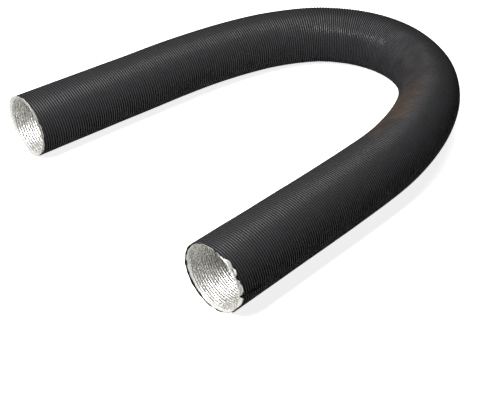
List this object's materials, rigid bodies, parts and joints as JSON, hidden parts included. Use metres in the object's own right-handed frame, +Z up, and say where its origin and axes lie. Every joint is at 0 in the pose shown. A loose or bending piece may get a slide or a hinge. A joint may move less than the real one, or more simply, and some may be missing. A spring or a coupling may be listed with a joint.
{
  "type": "flexible air duct",
  "caption": "Ribbed flexible hot-air duct lying in a U: black plastic outside, aluminium foil inside, plain cut ends; it bends along its length and stays where it is put.",
  "frame": {"origin": "middle of the footprint, on the floor the duct lies on", "axes": "+X from the two mouths towards the bend, +Y from the near leg towards the far leg, +Z up"},
  "size_m": [0.4678, 0.3702, 0.0652],
  "materials": {
    "black_plastic": "satin",
    "kraft_paper": "matte",
    "aluminium_foil": "crinkled, bright"
  },
  "bodies": {
    "section_01": {"jacket_01": "black_plastic", "paper_core_01": "kraft_paper", "foil_liner_01": "aluminium_foil"},
    "section_02": {"jacket_02": "black_plastic", "paper_core_02": "kraft_paper", "foil_liner_02": "aluminium_foil", "flex_turns_01": "black_plastic"},
    "section_03": {"jacket_03": "black_plastic", "paper_core_03": "kraft_paper", "foil_liner_03": "aluminium_foil", "flex_turns_02": "black_plastic"},
    "section_04": {"jacket_04": "black_plastic", "paper_core_04": "kraft_paper", "foil_liner_04": "aluminium_foil", "flex_turns_03": "black_plastic"},
    "section_05": {"jacket_05": "black_plastic", "paper_core_05": "kraft_paper", "foil_liner_05": "aluminium_foil", "flex_turns_04": "black_plastic"},
    "section_06": {"jacket_06": "black_plastic", "paper_core_06": "kraft_paper", "foil_liner_06": "aluminium_foil", "flex_turns_05": "black_plastic"},
    "section_07": {"jacket_07": "black_plastic", "paper_core_07": "kraft_paper", "foil_liner_07": "aluminium_foil", "flex_turns_06": "black_plastic"},
    "section_08": {"jacket_08": "black_plastic", "paper_core_08": "kraft_paper", "foil_liner_08": "aluminium_foil", "flex_turns_07": "black_plastic", "flex_turns_08": "black_plastic"},
    "section_09": {"jacket_09": "black_plastic", "paper_core_09": "kraft_paper", "foil_liner_09": "aluminium_foil", "flex_turns_09": "black_plastic"},
    "section_10": {"jacket_10": "black_plastic", "paper_core_10": "kraft_paper", "foil_liner_10": "aluminium_foil", "flex_turns_10": "black_plastic"},
    "section_11": {"jacket_11": "black_plastic", "paper_core_11": "kraft_paper", "foil_liner_11": "aluminium_foil", "flex_turns_11": "black_plastic"},
    "section_12": {"jacket_12": "black_plastic", "paper_core_12": "kraft_paper", "foil_liner_12": "aluminium_foil", "flex_turns_12": "black_plastic"},
    "section_13": {"jacket_13": "black_plastic", "paper_core_13": "kraft_paper", "foil_liner_13": "aluminium_foil", "flex_turns_13": "black_plastic"},
    "section_14": {"jacket_14": "black_plastic", "paper_core_14": "kraft_paper", "foil_liner_14": "aluminium_foil", "flex_turns_14": "black_plastic"},
    "section_15": {"jacket_15": "black_plastic", "paper_core_15": "kraft_paper", "foil_liner_15": "aluminium_foil"}
  },
  "joints": [
    {"name": "bend_01", "type": "hinge", "parent": "section_02", "child": "section_01", "pos_m": [-0.16687, -0.15254, 0.03259], "axis": [0, 0, -1], "range_deg": [-33, 33], "deforming": ["flex_turns_01"]},
    {"name": "lift_02", "type": "hinge", "parent": "section_03", "child": "section_02", "pos_m": [-0.10187, -0.15254, 0.03259], "axis": [0, 1, 0], "range_deg": [0, 33], "deforming": ["flex_turns_02"]},
    {"name": "bend_03", "type": "hinge", "parent": "section_04", "child": "section_03", "pos_m": [-0.03687, -0.152, 0.03259], "axis": [0, 0, -1], "range_deg": [-34, 29], "deforming": ["flex_turns_03"]},
    {"name": "lift_04", "type": "hinge", "parent": "section_05", "child": "section_04", "pos_m": [0.02785, -0.14686, 0.03259], "axis": [-0.167, 0.986, 0], "range_deg": [0, 33], "deforming": ["flex_turns_04"]},
    {"name": "bend_05", "type": "hinge", "parent": "section_06", "child": "section_05", "pos_m": [0.09051, -0.12993, 0.03259], "axis": [0, 0, 1], "range_deg": [-24.5, 36.5], "deforming": ["flex_turns_05"]},
    {"name": "bend_06", "type": "hinge", "parent": "section_07", "child": "section_06", "pos_m": [0.14752, -0.09927, 0.03259], "axis": [0, 0, 1], "range_deg": [-15.5, 39.5], "deforming": ["flex_turns_06"]},
    {"name": "bend_07", "type": "hinge", "parent": "section_08", "child": "section_07", "pos_m": [0.18903, -0.05001, 0.03259], "axis": [0, 0, 1], "range_deg": [-7, 42], "deforming": ["flex_turns_07"]},
    {"name": "bend_08", "type": "hinge", "parent": "section_08", "child": "section_09", "pos_m": [0.20053, 0.013, 0.03259], "axis": [0, 0, -1], "range_deg": [-1.5, 44], "deforming": ["flex_turns_08"]},
    {"name": "bend_09", "type": "hinge", "parent": "section_09", "child": "section_10", "pos_m": [0.17379, 0.07113, 0.03259], "axis": [0, 0, -1], "range_deg": [-5, 44], "deforming": ["flex_turns_09"]},
    {"name": "bend_10", "type": "hinge", "parent": "section_10", "child": "section_11", "pos_m": [0.12038, 0.10745, 0.03259], "axis": [0, 0, -1], "range_deg": [-20.5, 39], "deforming": ["flex_turns_10"]},
    {"name": "lift_11", "type": "hinge", "parent": "section_11", "child": "section_12", "pos_m": [0.05843, 0.12679, 0.03259], "axis": [0.2184, 0.9759, 0], "range_deg": [0, 33], "deforming": ["flex_turns_11"]},
    {"name": "bend_12", "type": "hinge", "parent": "section_12", "child": "section_13", "pos_m": [-0.00573, 0.13705, 0.03259], "axis": [0, 0, 1], "range_deg": [-35, 28.5], "deforming": ["flex_turns_12"]},
    {"name": "lift_13", "type": "hinge", "parent": "section_13", "child": "section_14", "pos_m": [-0.0705, 0.14244, 0.03259], "axis": [0.0785, 0.9969, 0], "range_deg": [0, 33], "deforming": ["flex_turns_13"]},
    {"name": "bend_14", "type": "hinge", "parent": "section_14", "child": "section_15", "pos_m": [-0.1353, 0.14754, 0.03259], "axis": [0, 0, 1], "range_deg": [-33, 33], "deforming": ["flex_turns_14"]}
  ]
}
